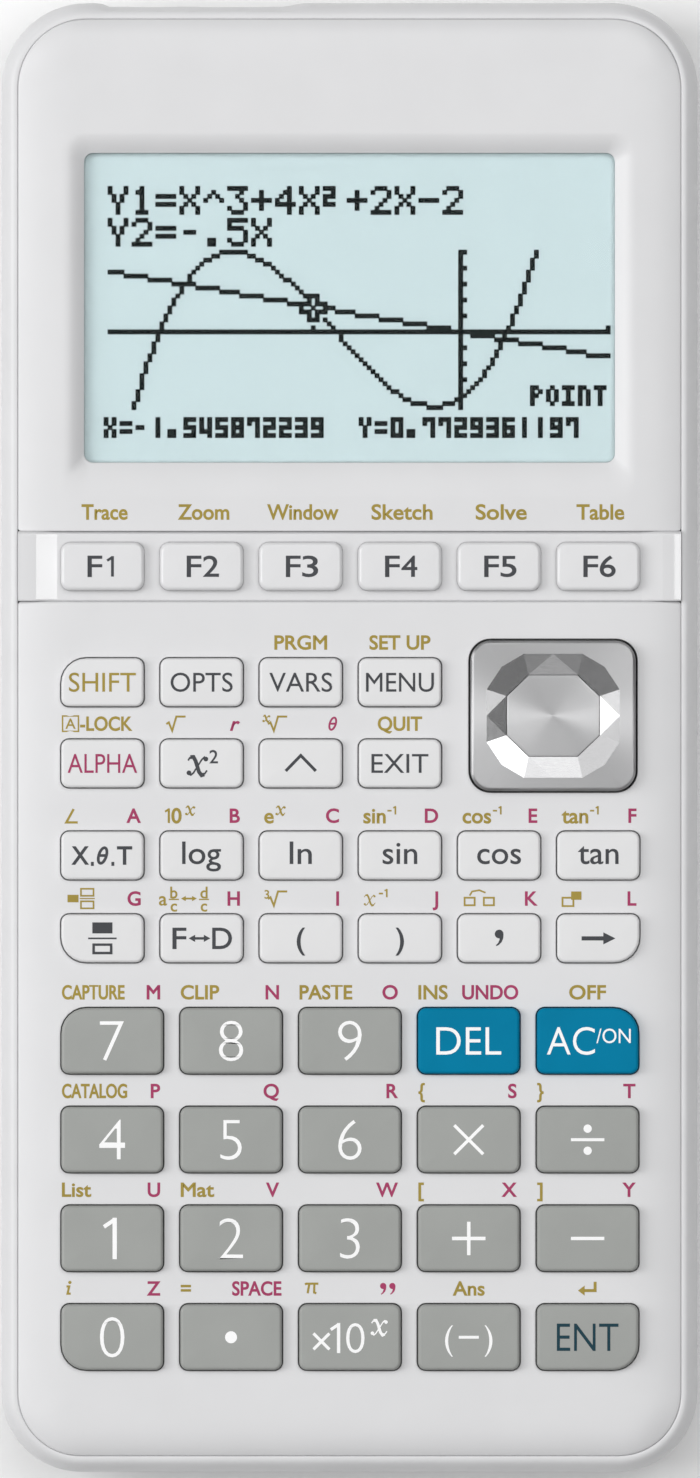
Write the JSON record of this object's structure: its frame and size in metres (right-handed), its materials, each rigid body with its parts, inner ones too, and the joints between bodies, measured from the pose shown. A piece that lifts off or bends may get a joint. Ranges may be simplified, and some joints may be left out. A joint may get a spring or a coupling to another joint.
{
  "type": "graphing calculator",
  "caption": "Handheld graphing calculator with a recessed rectangular display over a row of function keys, a square cursor pad and rows of small keys, in a shallow rounded case",
  "frame": {"origin": "on the surface that the calculator lies on, under the middle of its outline", "axes": "+X to the right and +Y towards the display, as the user sees the face; +Z out of the face"},
  "size_m": [0.0834, 0.1758, 0.0186],
  "materials": {
    "shell": "satin",
    "gloss_band": "gloss",
    "function_keys": "gloss",
    "light_keys": "satin",
    "grey_keys": "matte",
    "blue_keys": "satin",
    "satin_metal": "satin",
    "window": "gloss",
    "lcd": "satin",
    "board": "satin",
    "silicone": "matte",
    "cell": "satin"
  },
  "bodies": {
    "body": {"rear_case": "shell", "front_case": "shell", "function_key_panel": "gloss_band", "display_window": "window", "lcd_module": "lcd", "main_board": "board", "keypad_mat": "silicone", "battery_1": "cell", "battery_2": "cell", "battery_3": "cell", "battery_4": "cell"},
    "battery_cover": {"battery_cover": "shell"},
    "cursor_pivot": {"cursor_pivot": "silicone"},
    "cursor_pad": {"cursor_pad": "satin_metal"},
    "key_f1": {"key_f1": "function_keys"},
    "key_f2": {"key_f2": "function_keys"},
    "key_f3": {"key_f3": "function_keys"},
    "key_f4": {"key_f4": "function_keys"},
    "key_f5": {"key_f5": "function_keys"},
    "key_f6": {"key_f6": "function_keys"},
    "key_shift": {"key_shift": "light_keys"},
    "key_option": {"key_option": "light_keys"},
    "key_variables": {"key_variables": "light_keys"},
    "key_menu": {"key_menu": "light_keys"},
    "key_alpha": {"key_alpha": "light_keys"},
    "key_square": {"key_square": "light_keys"},
    "key_power": {"key_power": "light_keys"},
    "key_exit": {"key_exit": "light_keys"},
    "key_x_variable": {"key_x_variable": "light_keys"},
    "key_log": {"key_log": "light_keys"},
    "key_ln": {"key_ln": "light_keys"},
    "key_sin": {"key_sin": "light_keys"},
    "key_cos": {"key_cos": "light_keys"},
    "key_tan": {"key_tan": "light_keys"},
    "key_fraction": {"key_fraction": "light_keys"},
    "key_convert": {"key_convert": "light_keys"},
    "key_open_bracket": {"key_open_bracket": "light_keys"},
    "key_close_bracket": {"key_close_bracket": "light_keys"},
    "key_comma": {"key_comma": "light_keys"},
    "key_store": {"key_store": "light_keys"},
    "key_7": {"key_7": "grey_keys"},
    "key_8": {"key_8": "grey_keys"},
    "key_9": {"key_9": "grey_keys"},
    "key_delete": {"key_delete": "blue_keys"},
    "key_clear": {"key_clear": "blue_keys"},
    "key_4": {"key_4": "grey_keys"},
    "key_5": {"key_5": "grey_keys"},
    "key_6": {"key_6": "grey_keys"},
    "key_multiply": {"key_multiply": "grey_keys"},
    "key_divide": {"key_divide": "grey_keys"},
    "key_1": {"key_1": "grey_keys"},
    "key_2": {"key_2": "grey_keys"},
    "key_3": {"key_3": "grey_keys"},
    "key_plus": {"key_plus": "grey_keys"},
    "key_minus": {"key_minus": "grey_keys"},
    "key_0": {"key_0": "grey_keys"},
    "key_point": {"key_point": "grey_keys"},
    "key_exponent": {"key_exponent": "grey_keys"},
    "key_negative": {"key_negative": "grey_keys"},
    "key_enter": {"key_enter": "grey_keys"}
  },
  "joints": [
    {"name": "battery_cover_hinge", "type": "hinge", "parent": "body", "child": "battery_cover", "pos_m": [0, 0.07885, 0.0005], "axis": [1, 0, 0], "range_deg": [0, 60]},
    {"name": "cursor_tilt_up_down", "type": "hinge", "parent": "body", "child": "cursor_pivot", "pos_m": [0.02433, 0.0026, 0.0152], "axis": [1, 0, 0], "range_deg": [-3, 3], "stiffness_Nm_per_rad": 0.17, "deforming": ["keypad_mat"]},
    {"name": "cursor_tilt_left_right", "type": "hinge", "parent": "cursor_pivot", "child": "cursor_pad", "pos_m": [0.02433, 0.0026, 0.0152], "axis": [0, 1, 0], "range_deg": [-3, 3], "stiffness_Nm_per_rad": 0.17, "deforming": ["keypad_mat"]},
    {"name": "key_f1_press", "type": "slide", "parent": "body", "child": "key_f1", "axis": [0, 0, 1], "range_m": [-0.001, 0], "stiffness_N_per_m": 1000, "springref_m": 0.0003, "deforming": ["keypad_mat"]},
    {"name": "key_f2_press", "type": "slide", "parent": "body", "child": "key_f2", "axis": [0, 0, 1], "range_m": [-0.001, 0], "stiffness_N_per_m": 1000, "springref_m": 0.0003, "deforming": ["keypad_mat"]},
    {"name": "key_f3_press", "type": "slide", "parent": "body", "child": "key_f3", "axis": [0, 0, 1], "range_m": [-0.001, 0], "stiffness_N_per_m": 1000, "springref_m": 0.0003, "deforming": ["keypad_mat"]},
    {"name": "key_f4_press", "type": "slide", "parent": "body", "child": "key_f4", "axis": [0, 0, 1], "range_m": [-0.001, 0], "stiffness_N_per_m": 1000, "springref_m": 0.0003, "deforming": ["keypad_mat"]},
    {"name": "key_f5_press", "type": "slide", "parent": "body", "child": "key_f5", "axis": [0, 0, 1], "range_m": [-0.001, 0], "stiffness_N_per_m": 1000, "springref_m": 0.0003, "deforming": ["keypad_mat"]},
    {"name": "key_f6_press", "type": "slide", "parent": "body", "child": "key_f6", "axis": [0, 0, 1], "range_m": [-0.001, 0], "stiffness_N_per_m": 1000, "springref_m": 0.0003, "deforming": ["keypad_mat"]},
    {"name": "key_shift_press", "type": "slide", "parent": "body", "child": "key_shift", "axis": [0, 0, 1], "range_m": [-0.001, 0], "stiffness_N_per_m": 1000, "springref_m": 0.0003, "deforming": ["keypad_mat"]},
    {"name": "key_option_press", "type": "slide", "parent": "body", "child": "key_option", "axis": [0, 0, 1], "range_m": [-0.001, 0], "stiffness_N_per_m": 1000, "springref_m": 0.0003, "deforming": ["keypad_mat"]},
    {"name": "key_variables_press", "type": "slide", "parent": "body", "child": "key_variables", "axis": [0, 0, 1], "range_m": [-0.001, 0], "stiffness_N_per_m": 1000, "springref_m": 0.0003, "deforming": ["keypad_mat"]},
    {"name": "key_menu_press", "type": "slide", "parent": "body", "child": "key_menu", "axis": [0, 0, 1], "range_m": [-0.001, 0], "stiffness_N_per_m": 1000, "springref_m": 0.0003, "deforming": ["keypad_mat"]},
    {"name": "key_alpha_press", "type": "slide", "parent": "body", "child": "key_alpha", "axis": [0, 0, 1], "range_m": [-0.001, 0], "stiffness_N_per_m": 1000, "springref_m": 0.0003, "deforming": ["keypad_mat"]},
    {"name": "key_square_press", "type": "slide", "parent": "body", "child": "key_square", "axis": [0, 0, 1], "range_m": [-0.001, 0], "stiffness_N_per_m": 1000, "springref_m": 0.0003, "deforming": ["keypad_mat"]},
    {"name": "key_power_press", "type": "slide", "parent": "body", "child": "key_power", "axis": [0, 0, 1], "range_m": [-0.001, 0], "stiffness_N_per_m": 1000, "springref_m": 0.0003, "deforming": ["keypad_mat"]},
    {"name": "key_exit_press", "type": "slide", "parent": "body", "child": "key_exit", "axis": [0, 0, 1], "range_m": [-0.001, 0], "stiffness_N_per_m": 1000, "springref_m": 0.0003, "deforming": ["keypad_mat"]},
    {"name": "key_x_variable_press", "type": "slide", "parent": "body", "child": "key_x_variable", "axis": [0, 0, 1], "range_m": [-0.001, 0], "stiffness_N_per_m": 1000, "springref_m": 0.0003, "deforming": ["keypad_mat"]},
    {"name": "key_log_press", "type": "slide", "parent": "body", "child": "key_log", "axis": [0, 0, 1], "range_m": [-0.001, 0], "stiffness_N_per_m": 1000, "springref_m": 0.0003, "deforming": ["keypad_mat"]},
    {"name": "key_ln_press", "type": "slide", "parent": "body", "child": "key_ln", "axis": [0, 0, 1], "range_m": [-0.001, 0], "stiffness_N_per_m": 1000, "springref_m": 0.0003, "deforming": ["keypad_mat"]},
    {"name": "key_sin_press", "type": "slide", "parent": "body", "child": "key_sin", "axis": [0, 0, 1], "range_m": [-0.001, 0], "stiffness_N_per_m": 1000, "springref_m": 0.0003, "deforming": ["keypad_mat"]},
    {"name": "key_cos_press", "type": "slide", "parent": "body", "child": "key_cos", "axis": [0, 0, 1], "range_m": [-0.001, 0], "stiffness_N_per_m": 1000, "springref_m": 0.0003, "deforming": ["keypad_mat"]},
    {"name": "key_tan_press", "type": "slide", "parent": "body", "child": "key_tan", "axis": [0, 0, 1], "range_m": [-0.001, 0], "stiffness_N_per_m": 1000, "springref_m": 0.0003, "deforming": ["keypad_mat"]},
    {"name": "key_fraction_press", "type": "slide", "parent": "body", "child": "key_fraction", "axis": [0, 0, 1], "range_m": [-0.001, 0], "stiffness_N_per_m": 1000, "springref_m": 0.0003, "deforming": ["keypad_mat"]},
    {"name": "key_convert_press", "type": "slide", "parent": "body", "child": "key_convert", "axis": [0, 0, 1], "range_m": [-0.001, 0], "stiffness_N_per_m": 1000, "springref_m": 0.0003, "deforming": ["keypad_mat"]},
    {"name": "key_open_bracket_press", "type": "slide", "parent": "body", "child": "key_open_bracket", "axis": [0, 0, 1], "range_m": [-0.001, 0], "stiffness_N_per_m": 1000, "springref_m": 0.0003, "deforming": ["keypad_mat"]},
    {"name": "key_close_bracket_press", "type": "slide", "parent": "body", "child": "key_close_bracket", "axis": [0, 0, 1], "range_m": [-0.001, 0], "stiffness_N_per_m": 1000, "springref_m": 0.0003, "deforming": ["keypad_mat"]},
    {"name": "key_comma_press", "type": "slide", "parent": "body", "child": "key_comma", "axis": [0, 0, 1], "range_m": [-0.001, 0], "stiffness_N_per_m": 1000, "springref_m": 0.0003, "deforming": ["keypad_mat"]},
    {"name": "key_store_press", "type": "slide", "parent": "body", "child": "key_store", "axis": [0, 0, 1], "range_m": [-0.001, 0], "stiffness_N_per_m": 1000, "springref_m": 0.0003, "deforming": ["keypad_mat"]},
    {"name": "key_7_press", "type": "slide", "parent": "body", "child": "key_7", "axis": [0, 0, 1], "range_m": [-0.001, 0], "stiffness_N_per_m": 1000, "springref_m": 0.0003, "deforming": ["keypad_mat"]},
    {"name": "key_8_press", "type": "slide", "parent": "body", "child": "key_8", "axis": [0, 0, 1], "range_m": [-0.001, 0], "stiffness_N_per_m": 1000, "springref_m": 0.0003, "deforming": ["keypad_mat"]},
    {"name": "key_9_press", "type": "slide", "parent": "body", "child": "key_9", "axis": [0, 0, 1], "range_m": [-0.001, 0], "stiffness_N_per_m": 1000, "springref_m": 0.0003, "deforming": ["keypad_mat"]},
    {"name": "key_delete_press", "type": "slide", "parent": "body", "child": "key_delete", "axis": [0, 0, 1], "range_m": [-0.001, 0], "stiffness_N_per_m": 1000, "springref_m": 0.0003, "deforming": ["keypad_mat"]},
    {"name": "key_clear_press", "type": "slide", "parent": "body", "child": "key_clear", "axis": [0, 0, 1], "range_m": [-0.001, 0], "stiffness_N_per_m": 1000, "springref_m": 0.0003, "deforming": ["keypad_mat"]},
    {"name": "key_4_press", "type": "slide", "parent": "body", "child": "key_4", "axis": [0, 0, 1], "range_m": [-0.001, 0], "stiffness_N_per_m": 1000, "springref_m": 0.0003, "deforming": ["keypad_mat"]},
    {"name": "key_5_press", "type": "slide", "parent": "body", "child": "key_5", "axis": [0, 0, 1], "range_m": [-0.001, 0], "stiffness_N_per_m": 1000, "springref_m": 0.0003, "deforming": ["keypad_mat"]},
    {"name": "key_6_press", "type": "slide", "parent": "body", "child": "key_6", "axis": [0, 0, 1], "range_m": [-0.001, 0], "stiffness_N_per_m": 1000, "springref_m": 0.0003, "deforming": ["keypad_mat"]},
    {"name": "key_multiply_press", "type": "slide", "parent": "body", "child": "key_multiply", "axis": [0, 0, 1], "range_m": [-0.001, 0], "stiffness_N_per_m": 1000, "springref_m": 0.0003, "deforming": ["keypad_mat"]},
    {"name": "key_divide_press", "type": "slide", "parent": "body", "child": "key_divide", "axis": [0, 0, 1], "range_m": [-0.001, 0], "stiffness_N_per_m": 1000, "springref_m": 0.0003, "deforming": ["keypad_mat"]},
    {"name": "key_1_press", "type": "slide", "parent": "body", "child": "key_1", "axis": [0, 0, 1], "range_m": [-0.001, 0], "stiffness_N_per_m": 1000, "springref_m": 0.0003, "deforming": ["keypad_mat"]},
    {"name": "key_2_press", "type": "slide", "parent": "body", "child": "key_2", "axis": [0, 0, 1], "range_m": [-0.001, 0], "stiffness_N_per_m": 1000, "springref_m": 0.0003, "deforming": ["keypad_mat"]},
    {"name": "key_3_press", "type": "slide", "parent": "body", "child": "key_3", "axis": [0, 0, 1], "range_m": [-0.001, 0], "stiffness_N_per_m": 1000, "springref_m": 0.0003, "deforming": ["keypad_mat"]},
    {"name": "key_plus_press", "type": "slide", "parent": "body", "child": "key_plus", "axis": [0, 0, 1], "range_m": [-0.001, 0], "stiffness_N_per_m": 1000, "springref_m": 0.0003, "deforming": ["keypad_mat"]},
    {"name": "key_minus_press", "type": "slide", "parent": "body", "child": "key_minus", "axis": [0, 0, 1], "range_m": [-0.001, 0], "stiffness_N_per_m": 1000, "springref_m": 0.0003, "deforming": ["keypad_mat"]},
    {"name": "key_0_press", "type": "slide", "parent": "body", "child": "key_0", "axis": [0, 0, 1], "range_m": [-0.001, 0], "stiffness_N_per_m": 1000, "springref_m": 0.0003, "deforming": ["keypad_mat"]},
    {"name": "key_point_press", "type": "slide", "parent": "body", "child": "key_point", "axis": [0, 0, 1], "range_m": [-0.001, 0], "stiffness_N_per_m": 1000, "springref_m": 0.0003, "deforming": ["keypad_mat"]},
    {"name": "key_exponent_press", "type": "slide", "parent": "body", "child": "key_exponent", "axis": [0, 0, 1], "range_m": [-0.001, 0], "stiffness_N_per_m": 1000, "springref_m": 0.0003, "deforming": ["keypad_mat"]},
    {"name": "key_negative_press", "type": "slide", "parent": "body", "child": "key_negative", "axis": [0, 0, 1], "range_m": [-0.001, 0], "stiffness_N_per_m": 1000, "springref_m": 0.0003, "deforming": ["keypad_mat"]},
    {"name": "key_enter_press", "type": "slide", "parent": "body", "child": "key_enter", "axis": [0, 0, 1], "range_m": [-0.001, 0], "stiffness_N_per_m": 1000, "springref_m": 0.0003, "deforming": ["keypad_mat"]}
  ]
}
